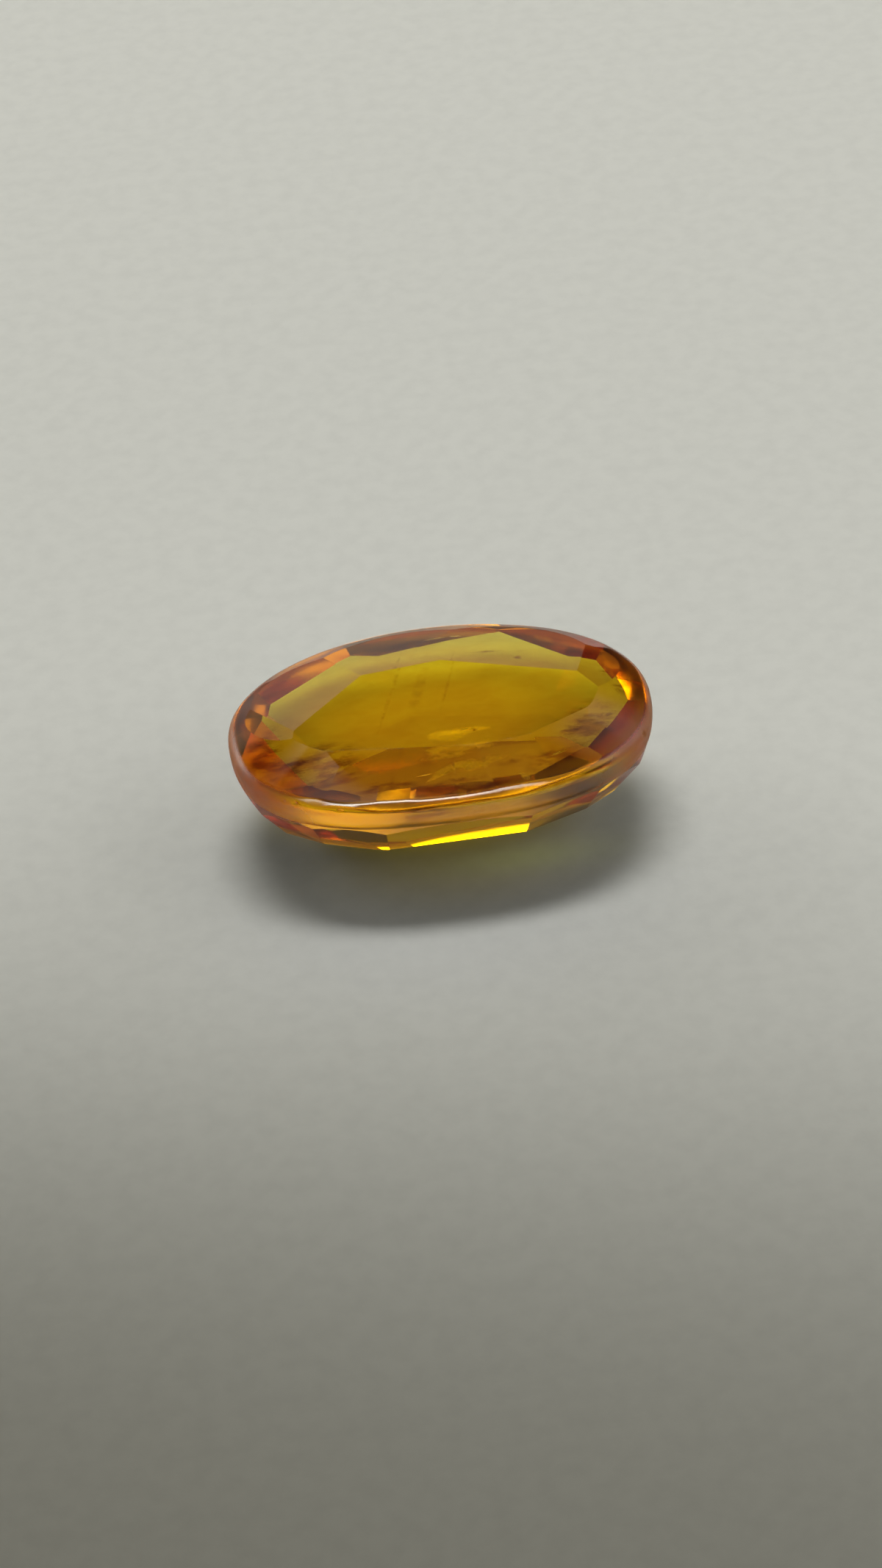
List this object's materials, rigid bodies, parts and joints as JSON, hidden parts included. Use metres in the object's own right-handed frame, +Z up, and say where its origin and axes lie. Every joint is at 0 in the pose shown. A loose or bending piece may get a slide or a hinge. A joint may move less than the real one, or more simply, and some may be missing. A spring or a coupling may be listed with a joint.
{
  "type": "oval faceted sapphire",
  "caption": "Loose golden sapphire cut as an oval: flat table, low broad crown, thick rounded girdle and a two-step pavilion with a narrow flat keel to stand on.",
  "frame": {"origin": "centre of the oval's bounding box, on the plane of the flat keel", "axes": "+X along the oval's long axis, +Y across it towards the back of the stone, +Z up out of the table"},
  "size_m": [0.015, 0.0096, 0.0049],
  "materials": {
    "sapphire": "polished"
  },
  "bodies": {
    "root": {"sapphire": "sapphire"}
  },
  "joints": []
}
